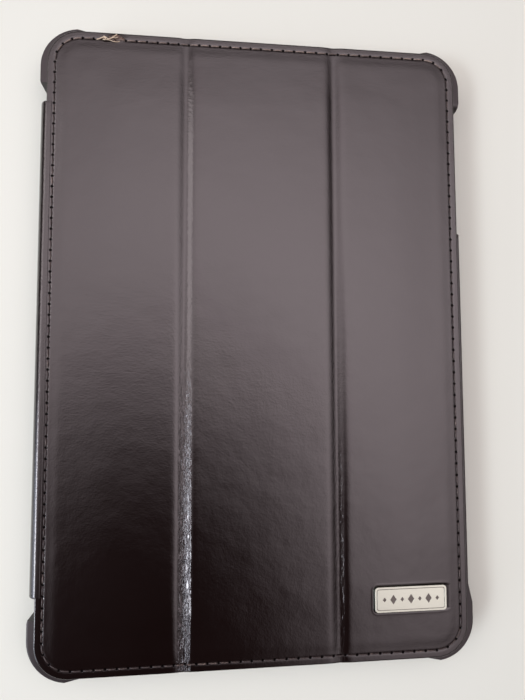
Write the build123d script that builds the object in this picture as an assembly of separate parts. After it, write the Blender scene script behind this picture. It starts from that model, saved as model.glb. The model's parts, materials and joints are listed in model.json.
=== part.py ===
"""Trifold leather case for an 8-inch tablet: a moulded tray with corner cups, a leather-covered spine
and a stitched cover of three stiffened panels that fold on two thinned grooves.

Frame: the case lies on its back. +X is the cover's free side, +Y the top of the tablet, +Z out of the
screen. The origin is the middle of the back's lowest face. Millimetres.
"""

import os
from dataclasses import dataclass

from build123d import *

# The tablet that the case holds.
TABLET_WIDTH = 134.7
TABLET_LENGTH = 200.0
TABLET_THICKNESS = 7.5
TABLET_CORNER = 10.0
TABLET_CLEARANCE = 0.3

# Sheet stock.
BACK_LEATHER = 0.9
COVER_LEATHER = 0.9
LINING = 0.5
TRAY_LINING = 0.3
BOARD = 1.0
SPINE_LEATHER = 1.0
SPINE_BOARD = 0.8
SPINE_LINING = 0.4
GLUE_GAP = 0.1

# Moulded tray.
SIDE_WALL = 1.65
END_WALL = 1.3
TRAY_FLOOR = 1.2
RECESS_DEPTH = 0.4
RECESS_INSET = 3.4
TRAY_BOTTOM_ROUND = 2.4
TRAY_TOP_ROUND = 0.6
CUP_BULGE = 1.3
CUP_REACH = (17.0, 24.0)
CUP_TAPER = 6.0
LIP_THICKNESS = 0.75
LIP_OVERLAP = 0.9
LIP_EXTRA_ROUND = 4.0
LIP_DIAGONAL = 7.0
LIP_HEADROOM = 0.15

# Windows in the tray, measured along each wall from the tablet's nearest corner.
CAMERA_RADIUS = 5.5
CAMERA_FROM_SIDE = 10.4
CAMERA_FROM_TOP = 10.2
CAMERA_LEATHER_MARGIN = 0.9
VOLUME_FROM_TOP = (17.6, 61.1)
POWER_FROM_SIDE = (12.4, 27.4)
JACK_FROM_SIDE = 12.8
JACK_RADIUS = 3.4
CONNECTOR_WIDTH = 14.0
CONNECTOR_HEIGHT = 6.0
SPEAKER_WIDTH = 24.0
SPEAKER_HEIGHT = 4.6
SPEAKER_SPACING = 24.0
WINDOW_SILL = 1.5
WINDOW_ROUND = 1.6
WINDOW_SHOULDER = 2.4

# Cover.
COVER_GAP = 0.2
COVER_FREE_OVERHANG = 0.15
COVER_LENGTH_OVERHANG = 0.7
COVER_CORNER = 10.4
MARGIN_WIDTH = 3.2
MARGIN_DROP = 0.45
BOARD_INSET = 3.6
FOLD_SHARES = (-0.1767, 0.1871)
GROOVE_TOP = 7.6
GROOVE_FLAT = 3.4
WEB_THICKNESS = 1.4
FOLD_CLEARANCE = 0.1
SKIVE = 0.4

# Stitching.
STITCH_INSET = 2.4
THREAD_WIDTH = 0.6
THREAD_CHANNEL = 0.9
THREAD_DEPTH = 0.3
THREAD_PROUD = 0.1
THREAD_FLOOR_GAP = 0.05

# Spine.
SPINE_END_INSET = 26.0
SPINE_OPENING_INSET = 18.8
BEND_RADIUS = 1.1
BEND_CLEARANCE = 0.4
SPINE_END_GAP = 0.1
SPINE_SIDE_GAP = 0.85

# Magnets and badge.
BAR_MAGNET = (3.0, 20.0, 0.7)
CLOSURE_MAGNET_SHARES = (-0.6, -0.2, 0.2, 0.6)
STAND_MAGNET_SHARES = (-0.45, 0.45)
MAGNET_EDGE = 6.0
WAKE_MAGNET_RADIUS = 3.0
WAKE_MAGNET_FROM_TOP = 16.5
WAKE_MAGNET_FROM_EDGE = 8.0
BADGE_WIDTH = 23.6
BADGE_LENGTH = 7.8
BADGE_THICKNESS = 0.9
BADGE_CORNER = 1.1
BADGE_PROUD = 0.45
BADGE_FROM_SIDE = 19.2
BADGE_FROM_BOTTOM = 19.1
BADGE_POCKET = 0.15
BADGE_LEG_RADIUS = 0.6
BADGE_LEG_SPACING = 15.0
BADGE_WASHER = (18.0, 4.0, 0.4)

# Heights, from the surface that the case lies on.
TRAY_BOTTOM_Z = BACK_LEATHER - RECESS_DEPTH
TRAY_FLOOR_Z = BACK_LEATHER + TRAY_FLOOR
TABLET_Z = TRAY_FLOOR_Z + TRAY_LINING
SCREEN_Z = TABLET_Z + TABLET_THICKNESS
LIP_Z = SCREEN_Z + LIP_HEADROOM
RIM_Z = LIP_Z + LIP_THICKNESS
COVER_Z = RIM_Z + COVER_GAP
LINING_TOP_Z = COVER_Z + LINING
BOARD_TOP_Z = LINING_TOP_Z + BOARD
COVER_TOP_Z = BOARD_TOP_Z + COVER_LEATHER
MARGIN_TOP_Z = COVER_TOP_Z - MARGIN_DROP
WEB_TOP_Z = COVER_Z + WEB_THICKNESS
FOLD_Z = COVER_Z + WEB_THICKNESS / 2
FOLD_RADIUS = WEB_THICKNESS / 2
PORT_Z = TABLET_Z + TABLET_THICKNESS / 2

# Plan sizes, as distances from the middle.
CAVITY_X = TABLET_WIDTH / 2 + TABLET_CLEARANCE
CAVITY_Y = TABLET_LENGTH / 2 + TABLET_CLEARANCE
CAVITY_CORNER = TABLET_CORNER + TABLET_CLEARANCE
TRAY_X = CAVITY_X + SIDE_WALL
TRAY_Y = CAVITY_Y + END_WALL
TRAY_CORNER = CAVITY_CORNER + END_WALL
CUP_X = TRAY_X + CUP_BULGE
CUP_Y = TRAY_Y + CUP_BULGE
CUP_CORNER = TRAY_CORNER + CUP_BULGE

# The spine hangs beside the tablet, between two bends that it turns on.
SPINE_INNER_X = -TABLET_WIDTH / 2 - SPINE_SIDE_GAP
SPINE_BOARD_X = SPINE_INNER_X - SPINE_LINING
SPINE_LEATHER_X = SPINE_BOARD_X - SPINE_BOARD
SPINE_OUTER_X = SPINE_LEATHER_X - SPINE_LEATHER
SPINE_HALF_LENGTH = CUP_Y - SPINE_END_INSET
SPINE_OPENING = CUP_Y - SPINE_OPENING_INSET
HINGE_X = SPINE_OUTER_X + BEND_RADIUS
LOWER_HINGE_Z = BEND_RADIUS
UPPER_HINGE_Z = COVER_TOP_Z - BEND_RADIUS
SPINE_SIDE_X = HINGE_X + BEND_RADIUS + BEND_CLEARANCE
SPINE_BOTTOM_Z = LOWER_HINGE_Z + BEND_RADIUS + SPINE_END_GAP
SPINE_TOP_Z = UPPER_HINGE_Z - BEND_RADIUS - SPINE_END_GAP

COVER_LEFT = SPINE_SIDE_X
COVER_RIGHT = TABLET_WIDTH / 2 + COVER_FREE_OVERHANG
COVER_Y = TABLET_LENGTH / 2 + COVER_LENGTH_OVERHANG
FOLD_LEFT, FOLD_RIGHT = (share * TABLET_WIDTH for share in FOLD_SHARES)
BADGE_PLACE = (COVER_RIGHT - BADGE_FROM_SIDE, BADGE_FROM_BOTTOM - COVER_Y)
BADGE_BOTTOM_Z = COVER_TOP_Z + BADGE_PROUD - BADGE_THICKNESS

CUT = 50.0  # how far a cutter runs past what it cuts
LEFT, RIGHT = -1, 1
BOTTOM, TOP = -1, 1


def slab(plan, low, high):
    """A flat sketch made solid between two heights."""
    return extrude(Pos(0, 0, low) * plan, high - low)


def block(x, y, z):
    """A box from its (low, high) pairs."""
    size = [pair[1] - pair[0] for pair in (x, y, z)]
    middle = [(pair[0] + pair[1]) / 2 for pair in (x, y, z)]
    return Pos(*middle) * Box(*size)


def rounded_plan(half_x, half_y, corner):
    return RectangleRounded(2 * half_x, 2 * half_y, corner)


def span_plan(left, right, half_y, corner):
    """A rounded rectangle between two X values."""
    return Pos((left + right) / 2, 0) * RectangleRounded(right - left, 2 * half_y, corner)


# ---------------------------------------------------------------- moulded tray


def at_corner(shape, side, end):
    """Mirrors a shape drawn for the corner at +X +Y to its own corner."""
    if side == LEFT:
        shape = mirror(shape, Plane.YZ)
    if end == BOTTOM:
        shape = mirror(shape, Plane.XZ)
    return shape


def cup_plan(side, end):
    """A corner that swells out past the walls and fades back into them."""
    start_x, start_y = CUP_X - CUP_REACH[0], CUP_Y - CUP_REACH[1]
    ground = Polyline(
        (start_x, start_y),
        (start_x, TRAY_Y),
        (start_x + CUP_TAPER, CUP_Y),
        (start_x + CUP_TAPER, CUP_Y + CUT),
        (CUP_X + CUT, CUP_Y + CUT),
        (CUP_X + CUT, start_y + CUP_TAPER),
        (CUP_X, start_y + CUP_TAPER),
        (TRAY_X, start_y),
        close=True,
    )
    swelling = rounded_plan(CUP_X, CUP_Y, CUP_CORNER) & at_corner(make_face(ground), side, end)
    return swelling - rounded_plan(CAVITY_X, CAVITY_Y, CAVITY_CORNER)


def lip_plan(side, end):
    """What holds the tablet's corner: the ground past a line across it, less the screen."""
    reach = CAVITY_CORNER + LIP_DIAGONAL
    ground = Polyline((CUP_X - reach, CUP_Y), (CUP_X, CUP_Y), (CUP_X, CUP_Y - reach), close=True)
    seat = rounded_plan(CAVITY_X, CAVITY_Y, CAVITY_CORNER)
    screen = rounded_plan(
        CAVITY_X - LIP_OVERLAP, CAVITY_Y - LIP_OVERLAP, CAVITY_CORNER + LIP_EXTRA_ROUND
    )
    return (seat - screen) & at_corner(make_face(ground), side, end)


CORNERS = [(side, end) for side in (LEFT, RIGHT) for end in (BOTTOM, TOP)]


def window_profile(low, high):
    """The outline of a window that is open at the rim, with rounded shoulders and sill corners."""
    sill = TRAY_FLOOR_Z + WINDOW_SILL
    opening = Pos((low + high) / 2, (sill + RIM_Z + CUT) / 2) * Rectangle(high - low, RIM_Z + CUT - sill)
    opening = fillet(opening.vertices().sort_by(Axis.Y)[:2], WINDOW_ROUND)
    for edge, outward in ((low, -1), (high, 1)):
        across = outward * WINDOW_SHOULDER
        square = Pos(edge + across / 2, RIM_Z - WINDOW_SHOULDER / 2) * Rectangle(
            WINDOW_SHOULDER, WINDOW_SHOULDER
        )
        opening += square - Pos(edge + across, RIM_Z - WINDOW_SHOULDER) * Circle(WINDOW_SHOULDER)
    return opening


def side_window(low, high):
    """Cuts the wall on the free side between two Y values."""
    inside = CAVITY_X - SIDE_WALL
    plane = Plane(origin=(inside, 0, 0), x_dir=(0, 1, 0), z_dir=(1, 0, 0))
    return extrude(plane * window_profile(low, high), CUT)


def top_window(low, high):
    """Cuts the top wall between two X values."""
    inside = CAVITY_Y - END_WALL
    plane = Plane(origin=(0, inside + CUT, 0), x_dir=(1, 0, 0), z_dir=(0, -1, 0))
    return extrude(plane * window_profile(low, high), CUT)


def bottom_slot(x, width, height):
    """A closed slot with round ends through the bottom wall."""
    inside = END_WALL - CAVITY_Y
    plane = Plane(origin=(0, inside, 0), x_dir=(1, 0, 0), z_dir=(0, -1, 0))
    return extrude(plane * Pos(x, PORT_Z) * SlotOverall(width, height), CUT)


CAMERA_X = TABLET_WIDTH / 2 - CAMERA_FROM_SIDE
CAMERA_Y = TABLET_LENGTH / 2 - CAMERA_FROM_TOP


def camera_bore(radius):
    return Pos(CAMERA_X, CAMERA_Y, 0) * Cylinder(radius, CUT)


def make_tray():
    """The moulded tray: floor, three walls, four corner cups with lips, and its windows."""
    body = slab(rounded_plan(TRAY_X, TRAY_Y, TRAY_CORNER), TRAY_BOTTOM_Z, RIM_Z)
    for corner in CORNERS:
        body += slab(cup_plan(*corner), TRAY_BOTTOM_Z, RIM_Z)
    faces = body.faces().sort_by(Axis.Z)
    body = fillet(faces[0].outer_wire().edges(), TRAY_BOTTOM_ROUND)
    faces = body.faces().sort_by(Axis.Z)
    body = fillet(faces[-1].outer_wire().edges(), TRAY_TOP_ROUND)

    body -= slab(rounded_plan(CAVITY_X, CAVITY_Y, CAVITY_CORNER), TRAY_FLOOR_Z, RIM_Z + CUT)
    for corner in CORNERS:
        body += slab(lip_plan(*corner), LIP_Z, RIM_Z)

    sheet_plan = rounded_plan(TRAY_X - RECESS_INSET, TRAY_Y - RECESS_INSET, CAVITY_CORNER)
    body -= slab(sheet_plan, -CUT, BACK_LEATHER)
    body -= camera_bore(CAMERA_RADIUS)
    top, side = TABLET_LENGTH / 2, TABLET_WIDTH / 2
    body -= side_window(top - VOLUME_FROM_TOP[1], top - VOLUME_FROM_TOP[0])
    body -= top_window(side - POWER_FROM_SIDE[1], side - POWER_FROM_SIDE[0])
    body -= bottom_slot(0, CONNECTOR_WIDTH, CONNECTOR_HEIGHT)
    for half in (LEFT, RIGHT):
        body -= bottom_slot(half * SPEAKER_SPACING, SPEAKER_WIDTH, SPEAKER_HEIGHT)
    jack = Cylinder(JACK_RADIUS, CUT, rotation=(90, 0, 0))
    body -= Pos(JACK_FROM_SIDE - side, CAVITY_Y + CUT / 2 - END_WALL, PORT_Z) * jack

    # The spine takes the place of the wall on its own side; the floor reaches out a little under it.
    body -= block((-CUT - CUP_X, SPINE_SIDE_X), (-SPINE_OPENING, SPINE_OPENING), (-CUT, RIM_Z + CUT))
    wall_face = TABLET_CLEARANCE - CAVITY_X
    body -= block(
        (-CUT - CUP_X, wall_face), (-SPINE_OPENING, SPINE_OPENING), (TRAY_FLOOR_Z, RIM_Z + CUT)
    )
    return body


def make_back_leather():
    inset = RECESS_INSET + GLUE_GAP
    sheet = slab(rounded_plan(TRAY_X - inset, TRAY_Y - inset, CAVITY_CORNER), 0, BACK_LEATHER)
    sheet += block(
        (SPINE_SIDE_X, CAVITY_CORNER + inset - TRAY_X),
        (-SPINE_HALF_LENGTH, SPINE_HALF_LENGTH),
        (0, BACK_LEATHER - RECESS_DEPTH - GLUE_GAP),
    )
    return sheet - camera_bore(CAMERA_RADIUS + CAMERA_LEATHER_MARGIN)


def make_tray_lining():
    inset = TABLET_CLEARANCE
    plan = rounded_plan(CAVITY_X - inset, CAVITY_Y - inset, CAVITY_CORNER - inset)
    return slab(plan, TRAY_FLOOR_Z, TABLET_Z) - camera_bore(CAMERA_RADIUS + CAMERA_LEATHER_MARGIN)


# ---------------------------------------------------------------- spine


def spine_strip(outer, inner, half_length):
    return block((outer, inner), (-half_length, half_length), (SPINE_BOTTOM_Z, SPINE_TOP_Z))


def spine_bend(height):
    """The round of leather that a flap turns on."""
    bar = Cylinder(BEND_RADIUS, 2 * SPINE_HALF_LENGTH, rotation=(90, 0, 0))
    return Pos(HINGE_X, 0, height) * bar


# ---------------------------------------------------------------- cover


@dataclass
class Panel:
    """One stiffened third of the cover, and the fold axes that it lies between."""

    name: str
    left: float
    right: float
    left_fold: bool
    right_fold: bool

    def span(self, from_fold, from_edge):
        """The panel's X range, drawn in by one amount at a fold and another at an edge."""
        left = self.left + (from_fold if self.left_fold else from_edge)
        right = self.right - (from_fold if self.right_fold else from_edge)
        return left, right

    def keep(self, shape, from_fold=FOLD_RADIUS + FOLD_CLEARANCE):
        """Keeps the part of a shape that lies between the panel's folds."""
        return shape & block(self.span(from_fold, 0), (-CUT - CUP_Y, CUT + CUP_Y), (0, CUT))


PANELS = [
    Panel("left", COVER_LEFT, FOLD_LEFT, False, True),
    Panel("middle", FOLD_LEFT, FOLD_RIGHT, True, True),
    Panel("right", FOLD_RIGHT, COVER_RIGHT, True, False),
]


def cover_plan(inset=0.0):
    return span_plan(COVER_LEFT + inset, COVER_RIGHT - inset, COVER_Y - inset, COVER_CORNER - inset)


def groove(x):
    """What a fold takes off the leather: a valley with sloping sides, pared thin beside the fold."""
    start = FOLD_RADIUS + FOLD_CLEARANCE
    half = [
        (start, WEB_TOP_Z - SKIVE),
        (GROOVE_FLAT / 2, WEB_TOP_Z),
        (GROOVE_TOP / 2, COVER_TOP_Z),
        (GROOVE_TOP / 2, COVER_TOP_Z + CUT),
    ]
    points = [(x + dx, z) for dx, z in half] + [(x - dx, z) for dx, z in reversed(half)]
    plane = Plane(origin=(0, CUP_Y + CUT, 0), x_dir=(1, 0, 0), z_dir=(0, -1, 0))
    return extrude(plane * make_face(Polyline(*points, close=True)), 2 * (CUP_Y + CUT))


def fold_roll(x):
    """The round of leather that a panel turns on at the bottom of a groove."""
    return Pos(x, 0, FOLD_Z) * Cylinder(FOLD_RADIUS, 2 * COVER_Y, rotation=(90, 0, 0))


def stitch_ring(width):
    return cover_plan(STITCH_INSET - width / 2) - cover_plan(STITCH_INSET + width / 2)


def board_solid(panel, clearance=0.0):
    """The board: the cover's outline drawn in from the edge, between the panel's grooves."""
    left, right = panel.span(GROOVE_TOP / 2 + GLUE_GAP, BOARD_INSET)
    strip = Pos((left + right) / 2, 0) * Rectangle(right - left + 2 * clearance, 2 * CUP_Y)
    return slab(cover_plan(BOARD_INSET - clearance) & strip, LINING_TOP_Z, BOARD_TOP_Z)


def badge_plan(grow=0.0):
    plate = RectangleRounded(BADGE_WIDTH + 2 * grow, BADGE_LENGTH + 2 * grow, BADGE_CORNER + grow)
    return Pos(*BADGE_PLACE) * plate


def badge_legs(radius, low, high):
    legs = [
        Pos(BADGE_PLACE[0] + side * BADGE_LEG_SPACING / 2, BADGE_PLACE[1], (low + high) / 2)
        * Cylinder(radius, high - low)
        for side in (LEFT, RIGHT)
    ]
    return legs[0] + legs[1]


def washer_solid(clearance=0.0):
    width, length, thickness = BADGE_WASHER
    plan = Pos(*BADGE_PLACE) * Rectangle(width + 2 * clearance, length + 2 * clearance)
    return slab(plan, LINING_TOP_Z, LINING_TOP_Z + thickness + clearance)


def make_leather(panel):
    """The panel's share of the outer leather, thick at the turned edge and thin in the grooves."""
    sheet = panel.keep(slab(cover_plan(), LINING_TOP_Z, COVER_TOP_Z))
    sheet -= slab(cover_plan() - cover_plan(MARGIN_WIDTH), MARGIN_TOP_Z, COVER_TOP_Z + CUT)
    sheet -= panel.keep(
        slab(stitch_ring(THREAD_CHANNEL), MARGIN_TOP_Z - THREAD_DEPTH, COVER_TOP_Z + CUT),
        GROOVE_TOP / 2 + GLUE_GAP,
    )
    for fold in (FOLD_LEFT, FOLD_RIGHT):
        sheet -= groove(fold)
    sheet -= board_solid(panel, GLUE_GAP)
    if panel.name == "right":
        sheet -= slab(badge_plan(BADGE_POCKET), BADGE_BOTTOM_Z, COVER_TOP_Z + CUT)
        sheet -= badge_legs(BADGE_LEG_RADIUS + BADGE_POCKET, LINING_TOP_Z, COVER_TOP_Z)
    return sheet


def make_stitching(panel):
    """The thread, as one cord lying in its channel between the panel's grooves."""
    low = MARGIN_TOP_Z - THREAD_DEPTH + THREAD_FLOOR_GAP
    cord = slab(stitch_ring(THREAD_WIDTH), low, MARGIN_TOP_Z + THREAD_PROUD)
    return panel.keep(cord, GROOVE_TOP / 2 + 2 * GLUE_GAP)


def make_lining(panel):
    return panel.keep(slab(cover_plan(GLUE_GAP), COVER_Z, LINING_TOP_Z))


def bar_magnets(x, shares, grow=0.0):
    """Bar magnets let into a board from below."""
    width, length, thickness = BAR_MAGNET
    bars = [
        block(
            (x - width / 2 - grow, x + width / 2 + grow),
            (y - length / 2 - grow, y + length / 2 + grow),
            (LINING_TOP_Z, LINING_TOP_Z + thickness + grow),
        )
        for y in (share * COVER_Y for share in shares)
    ]
    return Compound(children=bars)


STAND_MAGNET_X = COVER_LEFT + BOARD_INSET + MAGNET_EDGE
CLOSURE_MAGNET_X = COVER_RIGHT - BOARD_INSET - MAGNET_EDGE
WAKE_MAGNET_X = COVER_RIGHT - BOARD_INSET - WAKE_MAGNET_FROM_EDGE


def wake_magnet(grow=0.0):
    height = BAR_MAGNET[2] + grow
    disc = Cylinder(WAKE_MAGNET_RADIUS + grow, height)
    return Pos(WAKE_MAGNET_X, COVER_Y - WAKE_MAGNET_FROM_TOP, LINING_TOP_Z + height / 2) * disc


def make_board(panel):
    board = board_solid(panel)
    if panel.name == "left":
        for bar in bar_magnets(STAND_MAGNET_X, STAND_MAGNET_SHARES, GLUE_GAP).solids():
            board -= bar
    if panel.name == "right":
        for bar in bar_magnets(CLOSURE_MAGNET_X, CLOSURE_MAGNET_SHARES, GLUE_GAP).solids():
            board -= bar
        board -= wake_magnet(GLUE_GAP)
        board -= washer_solid(GLUE_GAP)
        board -= badge_legs(BADGE_LEG_RADIUS + BADGE_POCKET, LINING_TOP_Z, COVER_TOP_Z)
    return board


def make_badge():
    """The metal plate with the two legs cast on its back."""
    plate = slab(badge_plan(), BADGE_BOTTOM_Z, BADGE_BOTTOM_Z + BADGE_THICKNESS)
    rim = plate.faces().sort_by(Axis.Z)[-1].edges()
    plate = chamfer(rim, BADGE_PROUD / 3)
    leg_low = LINING_TOP_Z + GLUE_GAP
    return plate + badge_legs(BADGE_LEG_RADIUS, leg_low, BADGE_BOTTOM_Z)


def make_washer():
    return washer_solid() - badge_legs(BADGE_LEG_RADIUS + GLUE_GAP / 2, LINING_TOP_Z, COVER_TOP_Z)


# ---------------------------------------------------------------- writing out


def main():
    parts = {
        "back_shell": make_tray(),
        "back_leather": make_back_leather(),
        "shell_lining": make_tray_lining(),
        "spine_leather": spine_strip(SPINE_OUTER_X, SPINE_LEATHER_X, SPINE_HALF_LENGTH),
        "spine_board": spine_strip(SPINE_LEATHER_X, SPINE_BOARD_X, SPINE_HALF_LENGTH - MARGIN_WIDTH),
        "spine_lining": spine_strip(SPINE_BOARD_X, SPINE_INNER_X, SPINE_HALF_LENGTH - GLUE_GAP),
        "spine_lower_bend": spine_bend(LOWER_HINGE_Z),
        "spine_upper_bend": spine_bend(UPPER_HINGE_Z),
        "left_fold_roll": fold_roll(FOLD_LEFT),
        "right_fold_roll": fold_roll(FOLD_RIGHT),
        "stand_magnets": bar_magnets(STAND_MAGNET_X, STAND_MAGNET_SHARES),
        "closure_magnets": bar_magnets(CLOSURE_MAGNET_X, CLOSURE_MAGNET_SHARES),
        "wake_magnet": wake_magnet(),
        "badge_plate": make_badge(),
        "badge_washer": make_washer(),
    }
    for panel in PANELS:
        parts[f"{panel.name}_leather"] = make_leather(panel)
        parts[f"{panel.name}_board"] = make_board(panel)
        parts[f"{panel.name}_lining"] = make_lining(panel)
        parts[f"{panel.name}_stitching"] = make_stitching(panel)

    os.makedirs("parts", exist_ok=True)
    for name, shape in parts.items():
        export_step(shape, f"parts/{name}.step")


main()
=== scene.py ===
import json
import math

import bmesh
import bpy
import numpy as np
from mathutils import Matrix, Vector


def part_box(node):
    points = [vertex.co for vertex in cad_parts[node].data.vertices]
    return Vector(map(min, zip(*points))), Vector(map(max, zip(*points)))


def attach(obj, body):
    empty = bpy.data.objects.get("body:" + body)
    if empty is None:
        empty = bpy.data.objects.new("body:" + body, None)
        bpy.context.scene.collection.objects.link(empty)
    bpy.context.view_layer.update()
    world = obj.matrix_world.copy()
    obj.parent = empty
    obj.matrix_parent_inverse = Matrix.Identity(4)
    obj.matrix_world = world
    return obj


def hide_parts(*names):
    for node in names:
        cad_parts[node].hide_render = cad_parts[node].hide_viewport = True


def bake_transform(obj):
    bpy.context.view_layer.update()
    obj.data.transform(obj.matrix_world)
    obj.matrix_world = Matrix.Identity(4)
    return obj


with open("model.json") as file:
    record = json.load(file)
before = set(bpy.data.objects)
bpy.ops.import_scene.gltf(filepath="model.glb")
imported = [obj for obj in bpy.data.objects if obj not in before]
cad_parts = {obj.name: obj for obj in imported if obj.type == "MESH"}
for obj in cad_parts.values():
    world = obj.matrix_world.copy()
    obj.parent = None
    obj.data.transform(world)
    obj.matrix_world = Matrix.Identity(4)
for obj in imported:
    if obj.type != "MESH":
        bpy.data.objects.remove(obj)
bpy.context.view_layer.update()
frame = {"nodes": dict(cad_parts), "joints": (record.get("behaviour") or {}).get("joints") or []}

# ---------------------------------------------------------------- the room
# A pale table top under one large, softly uneven light panel. The panel is brightest just beyond the
# case's middle and fades out towards the near side, and three soft windows stand at the left.


def node(tree, kind, inputs=None, **settings):
    """Adds one node, sets it up, and feeds its inputs from values or from other nodes' sockets."""
    made = tree.nodes.new(kind)
    for name, value in settings.items():
        setattr(made, name, value)
    for name, value in (inputs or {}).items():
        if isinstance(value, bpy.types.NodeSocket):
            tree.links.new(value, made.inputs[name])
        else:
            made.inputs[name].default_value = value
    return made


def srgb(code):
    """An sRGB hex colour as the linear colour that Blender works in."""
    parts = [int(code[i : i + 2], 16) / 255 for i in (1, 3, 5)]
    return [c / 12.92 if c <= 0.04045 else ((c + 0.055) / 1.055) ** 2.4 for c in parts] + [1.0]


def finish_named(name):
    """A new material with its node tree, its shader and the object's own coordinates in millimetres."""
    material = bpy.data.materials.new(name)
    material.use_nodes = True
    tree = material.node_tree
    place = node(tree, "ShaderNodeTexCoord").outputs["Object"]
    scaled = node(tree, "ShaderNodeVectorMath", {0: place, "Scale": 1000.0}, operation="SCALE")
    return material, tree, tree.nodes["Principled BSDF"], scaled.outputs[0]


PANEL_HEIGHT = 1.0
PANEL_PEAK = 2.73  # radiance at its brightest
PANEL_NEAR, PANEL_FAR = -1.3, 1.5
panel_glow = bpy.data.materials.new("diffusing_fabric_lit_from_behind")
panel_glow.use_nodes = True
tree = panel_glow.node_tree
tree.nodes.clear()
place = node(tree, "ShaderNodeTexCoord").outputs["Object"]


def off_centre(centre, size, turn=0.0):
    """Distance from a point on the panel, counted in its own size along x and y, which may be turned."""
    point, scale = (*centre, PANEL_HEIGHT), (*size, 1.0)
    moved = node(tree, "ShaderNodeVectorMath", {0: place, 1: point}, operation="SUBTRACT")
    around = {0: moved.outputs[0], "Angle": turn}
    turned = node(tree, "ShaderNodeVectorRotate", around, rotation_type="Z_AXIS")
    scaled = node(tree, "ShaderNodeVectorMath", {0: turned.outputs[0], 1: scale}, operation="DIVIDE")
    length = node(tree, "ShaderNodeVectorMath", {0: scaled.outputs[0]}, operation="LENGTH")
    return length.outputs["Value"]


def put(name, data):
    """A new object in the scene, at the origin."""
    made = bpy.data.objects.new(name, data)
    bpy.context.collection.objects.link(made)
    return made


lamp = off_centre((0.07, 0.14), (1.02, 0.85))
squared = node(tree, "ShaderNodeMath", {0: lamp, 1: lamp}, operation="MULTIPLY")
fall = node(tree, "ShaderNodeMath", {0: squared.outputs[0], 1: -1.0}, operation="MULTIPLY")
glow = node(tree, "ShaderNodeMath", {0: fall.outputs[0]}, operation="EXPONENT")
dim = off_centre((-0.20, -0.80), (0.57, 1.0), 0.086)
faded = {0: dim, 1: 0.44, 2: 1.22, 3: 0.0, 4: PANEL_PEAK}
fade = node(tree, "ShaderNodeMapRange", faded, interpolation_type="SMOOTHSTEP")
power = node(tree, "ShaderNodeMath", {0: glow.outputs[0], 1: fade.outputs[0]}, operation="MULTIPLY")
shine = node(tree, "ShaderNodeEmission", {"Color": srgb("#ffeef3"), "Strength": power.outputs[0]})
node(tree, "ShaderNodeOutputMaterial", {"Surface": shine.outputs[0]})

panel_mesh = bpy.data.meshes.new("light_panel")
near, far = PANEL_NEAR, PANEL_FAR
panel_corners = ((near, near), (near, far), (far, far), (far, near))
panel_mesh.from_pydata([(x, y, PANEL_HEIGHT) for x, y in panel_corners], [], [(0, 1, 2, 3)])
panel_mesh.materials.append(panel_glow)
light_panel = put("light_panel", panel_mesh)
light_panel.visible_camera = False

for name, radiance, size, spot, tint in (
    ("near_window", 17.0, (0.45, 0.22), (-0.84, -0.36, 0.78), "#f4f5ff"),
    ("low_window", 2.3, (0.80, 0.80), (-1.05, -0.50, 0.48), "#e6ecff"),
    ("far_window", 2.4, (0.90, 0.45), (-0.84, 0.26, 0.80), "#fff2f4"),
):
    window_light = bpy.data.lights.new(name, "AREA")
    window_light.shape = "RECTANGLE"
    window_light.size, window_light.size_y = size
    window_light.energy = radiance * math.pi * size[0] * size[1]
    window_light.color = srgb(tint)[:3]
    window = put(name, window_light)
    window.location = spot
    window.rotation_euler = Vector(spot).to_track_quat("Z", "Y").to_euler()

world = bpy.data.worlds.new("room")
world.use_nodes = True
backdrop = world.node_tree.nodes["Background"]
backdrop.inputs["Color"].default_value = srgb("#6f6d6b")
backdrop.inputs["Strength"].default_value = 0.25
bpy.context.scene.world = world
bpy.context.scene.view_settings.view_transform = "Standard"

table_finish, tree, shader, place = finish_named("painted_table_top")
mottle = node(tree, "ShaderNodeTexNoise", {"Vector": place, "Scale": 0.01, "Detail": 3.0})
shades = {0: mottle.outputs["Fac"], "A": srgb("#d6ded3"), "B": srgb("#dbe3d8")}
shade = node(tree, "ShaderNodeMix", shades, data_type="RGBA")
tree.links.new(shade.outputs["Result"], shader.inputs["Base Color"])
shader.inputs["Roughness"].default_value = 0.6

table_mesh = bpy.data.meshes.new("table_top")
TABLE_HALF = 1.6
table_corners = [(x * TABLE_HALF, y * TABLE_HALF, 0) for x, y in ((-1, -1), (1, -1), (1, 1), (-1, 1))]
table_mesh.from_pydata(table_corners, [], [(0, 1, 2, 3)])
table_mesh.materials.append(table_finish)
put("table_top", table_mesh)

# The camera hangs 18 cm over the table, 2 cm off the case's middle, leaning towards the far right.
camera = put("camera", bpy.data.cameras.new("camera"))
camera.data.sensor_width = 36.0
camera.data.lens = 27.05
camera.data.clip_start = 0.01
camera.location = (-0.0170, -0.0132, 0.1805)
view_line = Vector((0.1062, 0.0654, -0.9922)).normalized()
view_right = view_line.cross(Vector((-0.0040, 0.9979, 0.0653))).normalized()
view_up = view_right.cross(view_line)
camera.rotation_euler = Matrix((view_right, view_up, -view_line)).transposed().to_euler()
bpy.context.scene.camera = camera

# ---------------------------------------------------------------- back shell
# The tray is injection-moulded polycarbonate, dyed dark brown, with a fine spark-eroded texture.
# It holds the tablet by its four cups; its solid already has the right shape, so only the finish is new.

shell_finish, tree, shader, place = finish_named("moulded_polycarbonate")
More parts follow.
